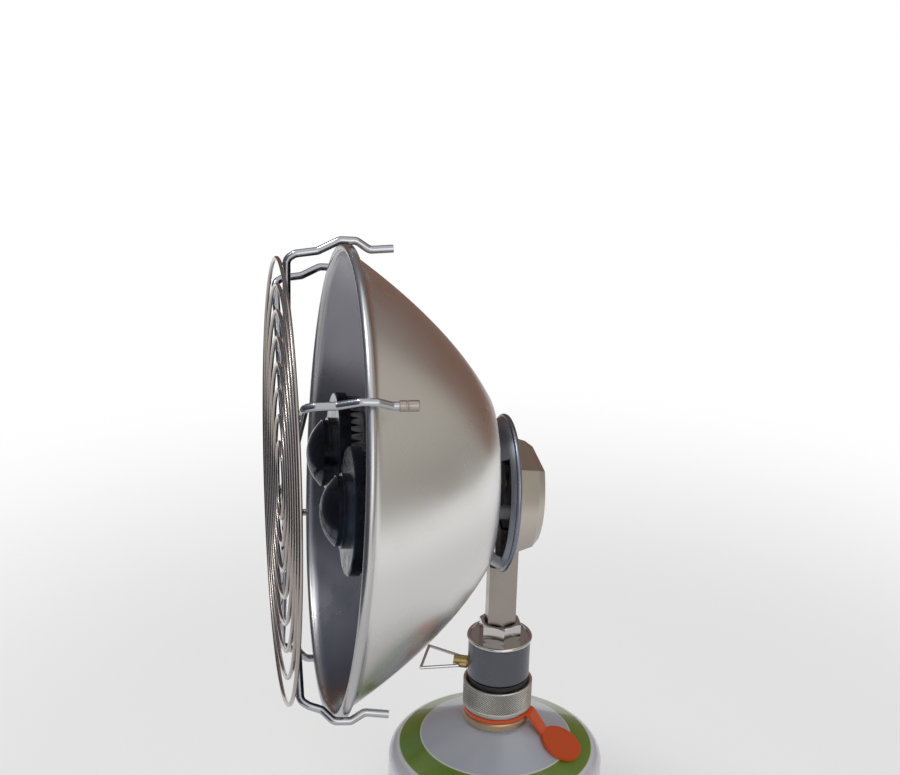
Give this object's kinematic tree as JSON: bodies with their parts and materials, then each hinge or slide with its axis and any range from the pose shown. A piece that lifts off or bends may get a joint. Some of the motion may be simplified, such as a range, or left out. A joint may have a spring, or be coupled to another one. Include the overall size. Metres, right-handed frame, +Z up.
{
  "type": "gas heater",
  "caption": "Twin burner parabolic gas heater on a screw cartridge, with a wire guard, folding valve handle, hexagonal stem and rear housing.",
  "frame": {"origin": "centre of the cartridge's standing ring, on the ground plane", "axes": "+Z up, the reflector faces -Y, +X is the viewer's right when looking at the front"},
  "size_m": [0.228, 0.1672, 0.3357],
  "materials": {
    "painted_can": "satin white paint",
    "can_base": "plain tinned steel",
    "bronze_cup": "bronze lacquer",
    "boss": "bare",
    "black_rubber": "matte",
    "brass": "bare",
    "spring": "bare",
    "orange_plastic": "satin",
    "knurled": "knurled",
    "neck": "matte",
    "body_paint": "satin dark blue-grey",
    "wire": "bright",
    "chrome": "polished",
    "stem": "satin nickel",
    "casting": "as cast",
    "housing": "brushed",
    "screws": "bright",
    "ring_steel": "blued",
    "reflector": "spun satin",
    "tube": "plain",
    "ports": "pressed",
    "cap_steel": "dark, heat blued",
    "guard": "bright plated"
  },
  "bodies": {
    "cartridge": {"can_shell": "painted_can", "can_base": "can_base", "valve_cup": "bronze_cup", "threaded_boss": "boss", "cartridge_seal": "black_rubber", "cartridge_spring": "spring"},
    "pin": {"cartridge_pin": "brass"},
    "strap": {"cap_strap": "orange_plastic"},
    "heater": {"connector_collar": "knurled", "connector_seal": "black_rubber", "pin_pusher": "brass", "neck_ring": "neck", "valve_body": "body_paint", "gland_packing": "black_rubber", "gland_nut": "brass", "top_plate": "chrome", "stem_nut": "chrome", "stem": "stem", "jet_block": "casting", "jet": "brass", "rear_housing": "housing", "cover_screw": "screws", "flange_ring": "ring_steel", "flange_screws": "screws", "reflector": "reflector", "mixing_tube": "tube", "manifold": "casting", "left_burner_cup": "ports", "right_burner_cup": "ports", "left_burner_cap": "cap_steel", "right_burner_cap": "cap_steel", "left_burner_collar": "cap_steel", "right_burner_collar": "cap_steel", "left_burner_dome": "cap_steel", "right_burner_dome": "cap_steel", "burner_screws": "screws", "guard_rings": "guard", "guard_arms": "guard"},
    "spindle": {"valve_spindle": "brass"},
    "handle": {"wire_handle": "wire"}
  },
  "joints": [
    {"name": "heater_lift", "type": "slide", "parent": "cartridge", "child": "heater", "axis": [0, 0, 1], "range_m": [0, 0.04]},
    {"name": "strap_turn", "type": "hinge", "parent": "cartridge", "child": "strap", "pos_m": [0, 0, 0.087], "axis": [0, 0, 1], "continuous": true},
    {"name": "pin_press", "type": "slide", "parent": "cartridge", "child": "pin", "axis": [0, 0, -1], "range_m": [0, 0.0015], "stiffness_N_per_m": 800, "springref_m": -0.002, "deforming": ["cartridge_spring"]},
    {"name": "spindle_turn", "type": "hinge", "parent": "heater", "child": "spindle", "pos_m": [0, 0, 0.1102], "axis": [-0.342, -0.9397, 0], "range_deg": [0, 540]},
    {"name": "handle_fold", "type": "hinge", "parent": "spindle", "child": "handle", "pos_m": [-0.00684, -0.01879, 0.1102], "axis": [0.9397, -0.342, 0], "range_deg": [-90, 90]}
  ]
}
